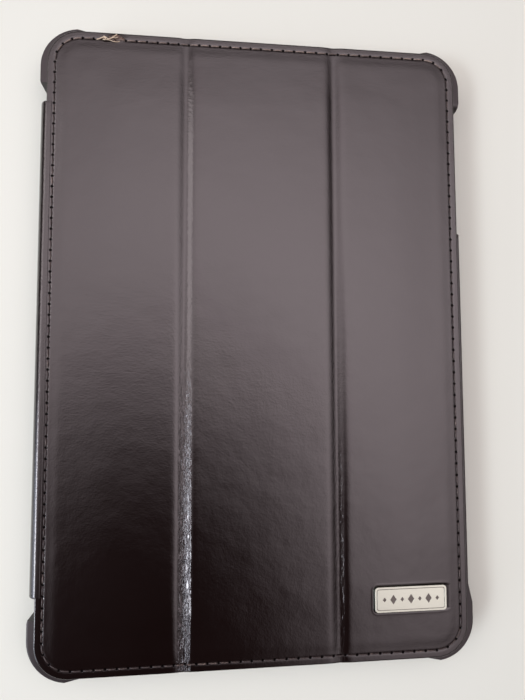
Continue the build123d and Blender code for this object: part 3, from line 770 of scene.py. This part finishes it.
for name, side, edge_x, nodes, dense_x, dense_y in (
    ("cover_leather_left", -1, COVER_LEFT, ("left_leather", "left_fold_roll"), [], []),
    (
        "cover_leather_right", 1, COVER_RIGHT,
        ("middle_leather", "right_leather", "right_fold_roll"), badge_x, badge_y,
    ),
):
    outline = (edge_x, COVER_Y, COVER_CORNER)
    insets, heights = (TOP_INSETS, LOW_INSETS), (leather_top, leather_low)
    points, faces, values, whole = cover_layer(
        side, outline, EDGE, insets, heights, groove_lines + dense_x, dense_y
    )
    stitches = round(whole / STITCH_LENGTHS[side])
    values["seam_run"][:, 0] *= stitches / whole
    leather = add_piece(name, points, faces, cover_leather_finish, values)
    face_outwards(leather)
    cover_halves[side] = (edge_x, stitches)
    fit_over_fold(leather, nodes)

# ---------------------------------------------------------------- spine, upper half
# From the middle of the spine the same hide goes up, rounds the shoulder, and is glued flat on the
# cover's margin just outside the stitches. Board and lining follow it inside.

SHOULDER_WIDE, SHOULDER_TALL = 2.75, 3.4
INNER_WIDE, INNER_TALL = 2.1, 2.95
shoulder = (-67.3, MARGIN_TOP + 0.02 - SHOULDER_TALL)
turn = np.radians(np.linspace(180, 90, 17))
upper_out = [(SPINE_OUT, SPINE_MIDDLE), (SPINE_OUT + 0.05, 7.8), (SPINE_OUT + 0.2, 8.7)]
upper_out += [
    (shoulder[0] + SHOULDER_WIDE * math.cos(a), shoulder[1] + SHOULDER_TALL * math.sin(a)) for a in turn
]
upper_out += [(-66.9, MARGIN_TOP + 0.02), (-66.5, MARGIN_TOP + 0.012), (-66.1, MARGIN_TOP + 0.002)]
upper_in = [(SPINE_OUT + SPINE_HIDE, z) for z in (SPINE_MIDDLE, 7.8, 8.7)]
for a in turn:
    under = min(shoulder[1] + INNER_TALL * math.sin(a), MARGIN_TOP - 0.3)
    upper_in.append((shoulder[0] + INNER_WIDE * math.cos(a), under))
upper_in += [(-66.9, MARGIN_TOP - 0.2), (-66.5, MARGIN_TOP - 0.12), (-66.1, MARGIN_TOP - 0.05)]
upper_turn = strip_along_spine("spine_upper_leather", upper_out, upper_in, HALF_SPINE, plain_leather)
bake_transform(upper_turn)
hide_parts("spine_leather", "spine_upper_bend")

LINING_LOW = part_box("left_lining")[0].z / MM
curl = (SPINE_IN + CLOTH_BEND, LINING_LOW - (CLOTH_BEND + FLUSH))
up_inside = (SPINE_MIDDLE, 8.5, 9.6, 10.15)
upper_face = [(SPINE_IN, z) for z in up_inside]
upper_face += arc(curl, CLOTH_BEND, 180, 90, 7)
upper_face += [(-66.9, LINING_LOW - FLUSH), (-66.2, LINING_LOW - FLUSH)]
upper_back = [(SPINE_IN - CLOTH, z) for z in up_inside]
upper_back += arc(curl, CLOTH_BACK_BEND, 180, 90, 7)
upper_back += [(-66.9, LINING_LOW + 0.2), (-66.2, LINING_LOW + 0.03)]
upper_lining = strip_along_spine("spine_upper_lining", upper_face, upper_back, HALF_CLOTH, lining_finish)
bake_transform(upper_lining)

# ---------------------------------------------------------------- cover lining
# The same microfibre lines the whole cover, under the boards, and is caught by the perimeter seam.

LINING_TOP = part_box("left_lining")[1].z / MM
SEAM_TUCK, FOLD_TUCK = 0.10, 0.30
LINING_SHORT = 0.1  # the lining stops this far inside the leather's edge


def lining_under(x, y, inset):
    """The lining's soft face, drawn up slightly along the seam and where the cover folds."""
    tuck = SEAM_TUCK * np.exp(-(((inset - STITCH_IN) / 0.55) ** 2))
    for fold in FOLDS:
        tuck = tuck + FOLD_TUCK * np.exp(-(((x - fold + 0.5) / 1.5) ** 2))
    return LINING_LOW + tuck


def lining_over(x, y, inset):
    """The lining's glued side, flat under the boards."""
    return np.full(len(x), LINING_TOP - 0.01)


LINING_EDGE = [(0.25, LINING_LOW), (0.08, LINING_LOW + 0.05), (0.0, LINING_LOW + 0.18)]
LINING_EDGE += [(0.0, LINING_TOP - 0.15), (0.08, LINING_TOP - 0.03), (0.25, LINING_TOP - 0.01)]
lining_corner = COVER_CORNER - LINING_SHORT
lining_insets = ([2.0, lining_corner], [lining_corner, 6.0, 3.6, 3.1, 2.8, 2.4, 2.0, 1.6, 1.0, 0.5])
lining_grooves = [(fold, 3.0, 0.4) for fold in FOLDS]
for name, side, edge_x, nodes in (
    ("cover_lining_left", -1, COVER_LEFT + LINING_SHORT, ("left_lining",)),
    ("cover_lining_right", 1, COVER_RIGHT - LINING_SHORT, ("middle_lining", "right_lining")),
):
    outline, heights = (edge_x, COVER_Y - LINING_SHORT, lining_corner), (lining_over, lining_under)
    layer = cover_layer(side, outline, LINING_EDGE, lining_insets, heights, lining_grooves, [])
    cloth = add_piece(name, layer[0], layer[1], lining_finish)
    face_outwards(cloth)
    fit_over_fold(cloth, nodes)

# ---------------------------------------------------------------- perimeter stitching
# Waxed two-ply polyester thread, about 0.45 mm thick, is lock-stitched 2.4 mm inside the edge at about
# seven stitches to the inch. Each stitch dips into its needle hole at both ends.

thread_finish, tree, shader, place = finish_named("waxed_polyester_thread")
# The wax has rubbed off in patches, which show the thread's own tan; the small tan flecks are partly
# painted glints.
rub = node(tree, "ShaderNodeTexNoise", {"Vector": place, "Scale": 0.09, "Detail": 3.0})
fleck_and_glint = node(tree, "ShaderNodeTexNoise", {"Vector": place, "Scale": 2.5, "Detail": 3.0})
both = {0: rub.outputs["Fac"], 1: fleck_and_glint.outputs["Fac"]}
amount = node(tree, "ShaderNodeMath", both, operation="MULTIPLY")
# The run along the far edge has lost more of its wax than the others.
y = node(tree, "ShaderNodeSeparateXYZ", {0: place}).outputs[1]
faded = node(tree, "ShaderNodeMapRange", {0: y, 1: 90.0, 2: 97.0, 3: 0.0, 4: 0.16})
paler = node(tree, "ShaderNodeMath", {0: amount.outputs[0], 1: faded.outputs[0]}, operation="ADD")
worn_and_glinting = node(tree, "ShaderNodeMapRange", {0: paler.outputs[0], 1: 0.28, 2: 0.55})
shades = {0: worn_and_glinting.outputs[0], "A": srgb("#2a1f1d"), "B": srgb("#94857a")}
shade = node(tree, "ShaderNodeMix", shades, data_type="RGBA")
tree.links.new(shade.outputs["Result"], shader.inputs["Base Color"])
shader.inputs["Roughness"].default_value = 0.38
shader.inputs["Sheen Weight"].default_value = 0.15


def one_stitch():
    """A two-ply stitch one unit long: it starts and ends below the leather and crowns in the middle."""
    rows, around, share = 9, 8, 0.80  # the stitch shows over this share of its pitch
    points = []
    for r in range(rows):
        t = r / (rows - 1)
        crown = 0.26 * math.sin(math.pi * t) ** 0.6 - 0.34
        thick = 0.12 + 0.10 * math.sin(math.pi * min(max(t, 0.03), 0.97)) ** 0.5
        for k in range(around):
            a = 2 * math.pi * k / around
            ply = thick * (1 + 0.16 * math.cos(2 * a - 5.0 * math.pi * t))
            points.append(((t - 0.5) * share, ply * math.cos(a) * MM, (crown + ply * math.sin(a)) * MM))
    faces = grid_faces(rows, around, wrap=True)
    faces += [tuple(range(around)), tuple(reversed(range(len(points) - around, len(points))))]
    mesh = bpy.data.meshes.new("stitch_shape")
    mesh.from_pydata(points, [], faces)
    mesh.polygons.foreach_set("use_smooth", [True] * len(mesh.polygons))
    return bpy.data.objects.new("stitch_shape", mesh)


stitch_shape = one_stitch()


def stitching_tree():
    """Puts one stitch on each point, laid along its heading, at its length, with slight unevenness."""
    tree = bpy.data.node_groups.new("lock_stitches", "GeometryNodeTree")
    face = tree.interface
    face.new_socket("Stitch places", in_out="INPUT", socket_type="NodeSocketGeometry")
    face.new_socket("Stitch", in_out="INPUT", socket_type="NodeSocketObject")
    uneven = face.new_socket("Unevenness", in_out="INPUT", socket_type="NodeSocketFloat")
    uneven.default_value = 0.06
    face.new_socket("Thread", in_out="INPUT", socket_type="NodeSocketMaterial")
    face.new_socket("Stitches", in_out="OUTPUT", socket_type="NodeSocketGeometry")
    given = node(tree, "NodeGroupInput")
    shape = node(tree, "GeometryNodeObjectInfo", {"Object": given.outputs["Stitch"]})
    named = "GeometryNodeInputNamedAttribute"
    heading = node(tree, named, {"Name": "heading"}, data_type="FLOAT_VECTOR").outputs["Attribute"]
    length = node(tree, named, {"Name": "length"}, data_type="FLOAT").outputs["Attribute"]
    turned = node(tree, "FunctionNodeAlignRotationToVector", {"Vector": heading}, axis="X", pivot_axis="Z")
    spread = {0: 1.0, 1: given.outputs["Unevenness"]}
    low = node(tree, "ShaderNodeMath", spread, operation="SUBTRACT").outputs[0]
    high = node(tree, "ShaderNodeMath", spread, operation="ADD").outputs[0]
    fat = node(tree, "FunctionNodeRandomValue", {2: low, 3: high, "Seed": 7}, data_type="FLOAT").outputs[1]
    size = node(tree, "ShaderNodeCombineXYZ", {0: length, 1: fat, 2: fat}).outputs[0]
    laying = {"Points": given.outputs["Stitch places"], "Instance": shape.outputs["Geometry"]}
    laying |= {"Rotation": turned.outputs["Rotation"], "Scale": size}
    laid = node(tree, "GeometryNodeInstanceOnPoints", laying)
    real = node(tree, "GeometryNodeRealizeInstances", {0: laid.outputs["Instances"]})
    dyeing = {"Geometry": real.outputs[0], "Material": given.outputs["Thread"]}
    dyed = node(tree, "GeometryNodeSetMaterial", dyeing)
    node(tree, "NodeGroupOutput", {"Stitches": dyed.outputs[0]})
    return tree


lock_stitches = stitching_tree()


def on_seam(run, side, edge_x):
    """The point on the sewn line at a distance along it from the middle panel, on the leather's face."""
    corner_x, straight_y = edge_x - side * COVER_CORNER, COVER_Y - COVER_CORNER
    turn = COVER_CORNER - STITCH_IN
    top_run, bend_run, side_run = abs(corner_x - MIDDLE_SEAM), turn * math.pi / 2, 2 * straight_y
    if run <= top_run:
        x, y = MIDDLE_SEAM + side * run, COVER_Y - STITCH_IN
    elif run <= top_run + bend_run:
        a = (run - top_run) / turn
        x, y = corner_x + side * turn * math.sin(a), straight_y + turn * math.cos(a)
    elif run <= top_run + bend_run + side_run:
        x, y = edge_x - side * STITCH_IN, straight_y - (run - top_run - bend_run)
    elif run <= top_run + 2 * bend_run + side_run:
        a = (run - top_run - bend_run - side_run) / turn
        x, y = corner_x + side * turn * math.cos(a), -straight_y - turn * math.sin(a)
    else:
        x = corner_x - side * (run - top_run - 2 * bend_run - side_run)
        y = STITCH_IN - COVER_Y
    z = float(leather_top(np.array([x]), np.array([y]), np.array([STITCH_IN]))[0])
    return np.array([x, y, z])


LOOSE, LOOSE_REACH = (-49.0, 98.3), 3.2  # where two stitches have pulled and frayed
STITCH_LIFT = np.array([0, 0, 0.00026])
for side, name, nodes in (
    (-1, "cover_stitches_left", ("left_stitching",)),
    (1, "cover_stitches_right", ("middle_stitching", "right_stitching")),
):
    edge_x, stitches = cover_halves[side]
    top_run = abs(edge_x - side * COVER_CORNER - MIDDLE_SEAM)
    whole = 2 * top_run + math.pi * (COVER_CORNER - STITCH_IN) + 2 * (COVER_Y - COVER_CORNER)
    holes = [on_seam(whole * k / stitches, side, edge_x) for k in range(stitches + 1)]
    middles, headings, lengths = [], [], []
    for a, b in zip(holes, holes[1:]):
        middle = (a + b) / 2
        if math.hypot(middle[0] - LOOSE[0], middle[1] - LOOSE[1]) < LOOSE_REACH:
            continue
        middles.append(tuple(middle * MM + STITCH_LIFT))
        headings.append((b - a) / np.linalg.norm(b - a))
        lengths.append(np.linalg.norm(b - a) * MM)
    places = bpy.data.meshes.new("stitch_places")
    places.from_pydata(middles, [], [])
    layer = places.attributes.new("heading", "FLOAT_VECTOR", "POINT")
    layer.data.foreach_set("vector", np.array(headings, np.float32).ravel())
    layer = places.attributes.new("length", "FLOAT", "POINT")
    layer.data.foreach_set("value", np.array(lengths, np.float32))
    carrier = put("stitch_carrier", places)
    maker = carrier.modifiers.new("stitches", "NODES")
    maker.node_group = lock_stitches
    given = {"Stitch": stitch_shape, "Unevenness": 0.07, "Thread": thread_finish}
    for item in lock_stitches.interface.items_tree:
        if item.name in given:
            maker[item.identifier] = given[item.name]
    seam = put(name, mesh_from(carrier))
    fit_over_fold(seam, nodes)
bpy.data.objects.remove(stitch_shape)

# ---------------------------------------------------------------- badge
# A die-cast zinc plate with a satin silver finish, let into the leather and held by two legs. Its face
# is engraved with a plain border and a row of lozenges, filled with dark enamel.

badge_metal, tree, shader, place = finish_named("satin_zinc_plate")
# Brushing runs along the plate in lines about 0.12 mm apart.
brush = node(tree, "ShaderNodeMapping", {"Vector": place, "Scale": (0.4, 8.0, 1.0)})
lines = node(tree, "ShaderNodeTexNoise", {"Vector": brush.outputs[0], "Scale": 1.0, "Detail": 3.0})
bumps = {"Height": lines.outputs["Fac"], "Strength": 0.3, "Distance": 0.00002}
relief = node(tree, "ShaderNodeBump", bumps)
gloss = node(tree, "ShaderNodeMapRange", {0: lines.outputs["Fac"], 1: 0.3, 2: 0.7, 3: 0.28, 4: 0.42})
tree.links.new(relief.outputs[0], shader.inputs["Normal"])
tree.links.new(gloss.outputs[0], shader.inputs["Roughness"])
shader.inputs["Base Color"].default_value = srgb("#dbe2d2")
shader.inputs["Metallic"].default_value = 1.0

enamel, tree, shader, place = finish_named("black_enamel_fill")
# The fill shrinks as it cures, which leaves it slightly uneven.
pool = node(tree, "ShaderNodeTexNoise", {"Vector": place, "Scale": 1.5, "Detail": 2.0})
relief = node(tree, "ShaderNodeBump", {"Height": pool.outputs["Fac"], "Strength": 0.3, "Distance": 0.00003})
tree.links.new(relief.outputs[0], shader.inputs["Normal"])
shader.inputs["Base Color"].default_value = srgb("#5a554f")
shader.inputs["Roughness"].default_value = 0.4

BADGE_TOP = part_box("badge_plate")[1].z / MM
BADGE_THICK, RIM_THICK = 0.9, 0.3
bx, by = BADGE_MIDDLE[0], BADGE_MIDDLE[1]


def badge_outline(shrink, radius):
    """The badge's outline, drawn in by an amount."""
    half_x, half_y = BADGE_HALF[0] - shrink, BADGE_HALF[1] - shrink
    return rounded((bx - half_x, by - half_y), (bx + half_x, by + half_y), radius, 8)


def lozenge(x, half_x, half_y):
    """A lozenge on the badge's middle line."""
    return [(x - half_x, by), (x, by - half_y), (x + half_x, by), (x, by + half_y)]


LOZENGE_STEP, LARGE, SMALL = 2.9, (1.05, 1.5), (0.6, 0.75)
lozenges = [lozenge(bx + k * LOZENGE_STEP, *(LARGE if k % 2 == 0 else SMALL)) for k in range(-3, 4)]
whole_badge, border = badge_outline(0, BADGE_ROUND), badge_outline(0.62, 0.7)
back, rim_low = BADGE_TOP - BADGE_THICK, BADGE_TOP - RIM_THICK
plate = flat_cut("badge_body", [whole_badge], back, BADGE_TOP - 0.14, 0.08, badge_metal)
filled = [badge_outline(0.5, 0.8)]
fill = flat_cut("badge_enamel", filled, BADGE_TOP - 0.2, BADGE_TOP - 0.07, 0.02, enamel)
frame_ring = flat_cut("badge_rim", [whole_badge, border], rim_low, BADGE_TOP, 0.06, badge_metal)
engraved = [badge_outline(0.78, 0.6)] + lozenges
field = flat_cut("badge_face", engraved, rim_low, BADGE_TOP - 0.01, 0.04, badge_metal)
for piece in (plate, fill, frame_ring, field):
    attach(piece, "right_panel")
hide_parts("badge_plate")

# ---------------------------------------------------------------- frayed thread
# Near the far left corner two stitches have pulled: a short tuft of tan thread stands up from its
# holes, and one of its strands curls back on itself.

tuft_finish, tree, shader, place = finish_named("frayed_undyed_thread")
# Loose filaments catch the light along the thread, drawn about 0.17 mm apart.
strands = node(tree, "ShaderNodeTexNoise", {"Vector": place, "Scale": 6.0, "Detail": 2.0})
shades = {0: strands.outputs["Fac"], "A": srgb("#9d8768"), "B": srgb("#e9dec8")}
shade = node(tree, "ShaderNodeMix", shades, data_type="RGBA")
tree.links.new(shade.outputs["Result"], shader.inputs["Base Color"])
shader.inputs["Roughness"].default_value = 0.8

THREAD_HALF = 0.00019
TUFT_RUNS = [
    [
        (-52.6, 98.2, -0.2), (-51.4, 98.4, 0.12), (-50.4, 98.9, 0.3),
        (-49.6, 98.4, 0.5), (-49.9, 97.7, 0.5), (-50.5, 98.1, 0.35),
    ],
    [
        (-50.3, 99.1, 0.3), (-49.5, 98.6, 0.55), (-48.9, 98.1, 0.45),
        (-47.8, 98.6, 0.35), (-46.9, 99.4, 0.25), (-46.2, 100.1, 0.1),
    ],
    [
        (-49.7, 97.9, 0.45), (-48.6, 98.0, 0.4), (-47.4, 97.6, 0.25),
        (-46.3, 97.5, 0.15), (-45.2, 97.9, -0.1),
    ],
    [(-48.4, 98.4, 0.4), (-47.3, 98.9, 0.35), (-46.6, 98.7, 0.3), (-45.9, 99.2, 0.2)],
]
tuft_line = bpy.data.curves.new("tuft", "CURVE")
tuft_line.dimensions = "3D"
tuft_line.bevel_depth = THREAD_HALF
tuft_line.bevel_resolution = 2
tuft_line.use_fill_caps = True
for route in TUFT_RUNS:
    spline = tuft_line.splines.new("NURBS")
    spline.points.add(len(route) - 1)
    for point, (x, y, z) in zip(spline.points, route):
        point.co = (x * MM, y * MM, (MARGIN_TOP + z) * MM, 1)
        point.radius = 1.0 if len(route) > 5 else 0.6
    spline.order_u = 3
    spline.use_endpoint_u = True
tuft_mesh = mesh_from(put("tuft_line", tuft_line))
tuft_mesh.materials.clear()
tuft_mesh.materials.append(tuft_finish)
tuft = put("frayed_tuft", tuft_mesh)
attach(tuft, "left_panel")
